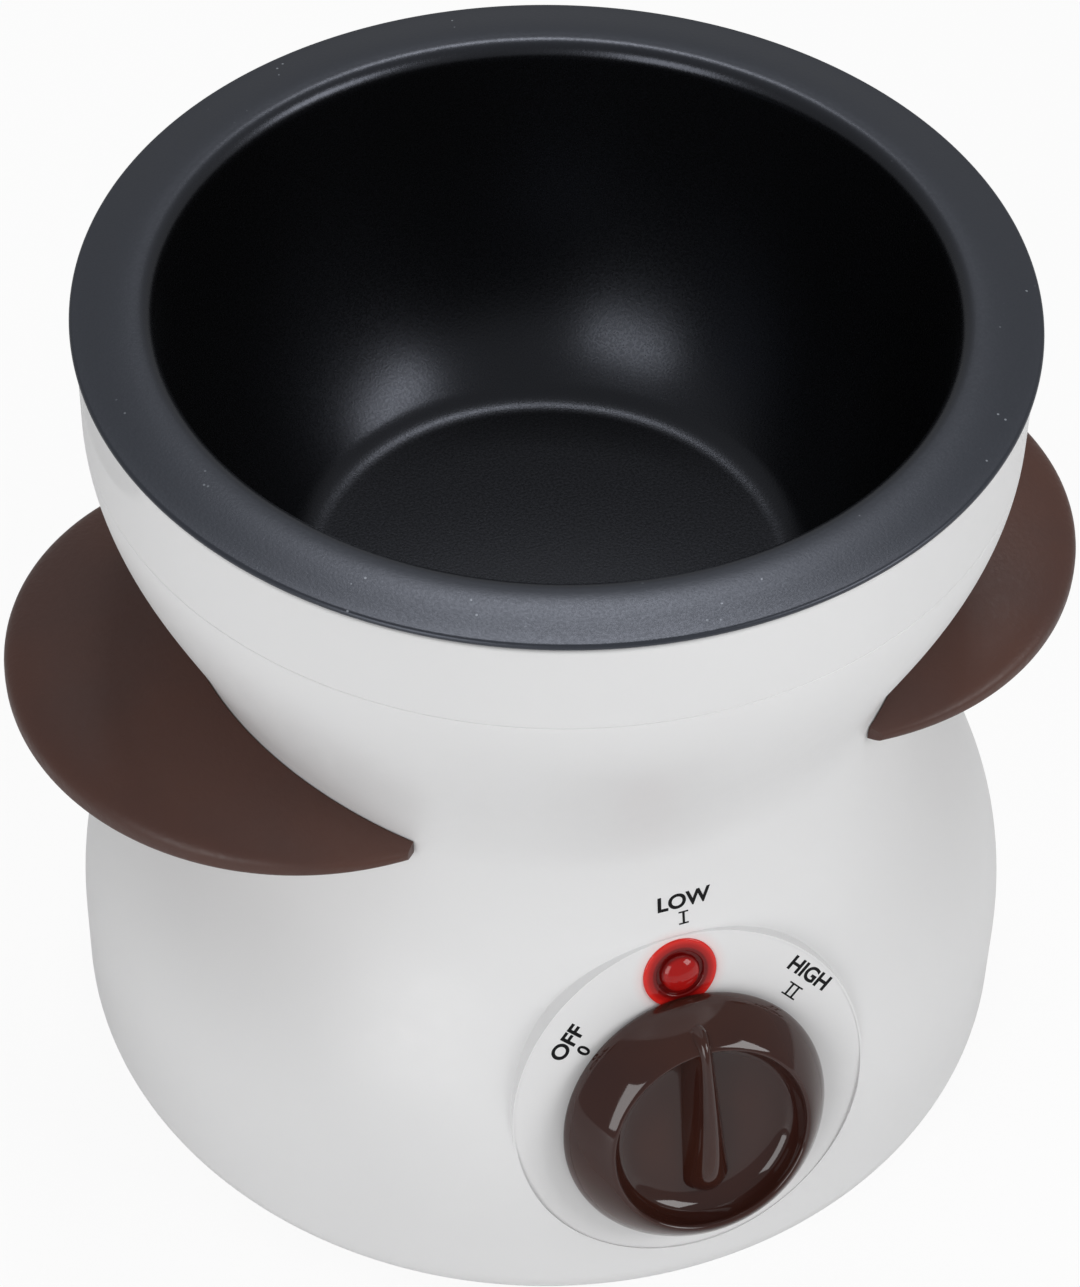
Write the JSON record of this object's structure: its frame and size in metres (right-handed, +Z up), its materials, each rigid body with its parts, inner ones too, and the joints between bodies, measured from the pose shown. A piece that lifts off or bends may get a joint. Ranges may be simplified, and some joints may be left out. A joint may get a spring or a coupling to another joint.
{
  "type": "electric fondue pot",
  "caption": "Round electric fondue pot with a waisted housing, two wing handles, a lift-out coated pot, a control knob and a pilot light.",
  "frame": {"origin": "on the housing's axis at table level, where the feet stand", "axes": "+Z up along the housing's axis, -Y towards the side with the control knob, +X and -X towards the two handles"},
  "size_m": [0.16, 0.1484, 0.137],
  "materials": {
    "pot_coating": "fine-grained non-stick coating, charcoal on the flange and near black inside",
    "white_plastic": "semi-gloss moulding",
    "brown_plastic": "satin phenolic moulding with a fine grain",
    "brown_gloss": "polished phenolic moulding",
    "aluminium_sheet": "plain mill finish",
    "steel": "zinc plated",
    "sheathed_element": "dull sheath",
    "brass": "plain turned",
    "black_plastic": "plain moulding",
    "ceramic": null,
    "red_lens": "translucent red moulding",
    "lamp_glass": "clear bulb",
    "wire_black": "insulated wire",
    "wire_brown": "insulated wire",
    "wire_white": "insulated wire",
    "foot_rubber": "soft moulding"
  },
  "bodies": {
    "base": {"upper_collar": "white_plastic", "housing_shell": "white_plastic", "left_handle": "brown_plastic", "right_handle": "brown_plastic", "handle_screws": "steel", "heater_bowl": "aluminium_sheet", "heater_plate": "aluminium_sheet", "heating_element": "sheathed_element", "thermostat": "black_plastic", "thermostat_screws": "steel", "thermal_fuse": "ceramic", "heat_shield": "aluminium_sheet", "shield_posts": "steel", "shield_screws": "steel", "rotary_switch": "black_plastic", "switch_nut": "steel", "indicator_lens": "red_lens", "lens_retainer": "steel", "neon_lamp": "lamp_glass", "terminal_block": "ceramic", "block_screws": "brass", "lead_supply": "wire_black", "lead_heater": "wire_brown", "lead_return": "wire_white", "cord_gland": "black_plastic", "gland_nut": "black_plastic", "base_plate": "brown_plastic", "foot_1": "foot_rubber", "foot_2": "foot_rubber", "foot_3": "foot_rubber", "foot_4": "foot_rubber", "base_screws": "steel"},
    "pot": {"inner_pot": "pot_coating"},
    "knob": {"control_knob": "brown_gloss", "knob_spring": "steel", "switch_shaft": "steel"}
  },
  "joints": [
    {"name": "pot_lift", "type": "slide", "parent": "base", "child": "pot", "axis": [0, 0, 1], "range_m": [0, 0.08]},
    {"name": "knob_turn", "type": "hinge", "parent": "base", "child": "knob", "pos_m": [0, -0.0626, 0.0348], "axis": [0, -0.9478, 0.319], "range_deg": [-48, 48]}
  ]
}
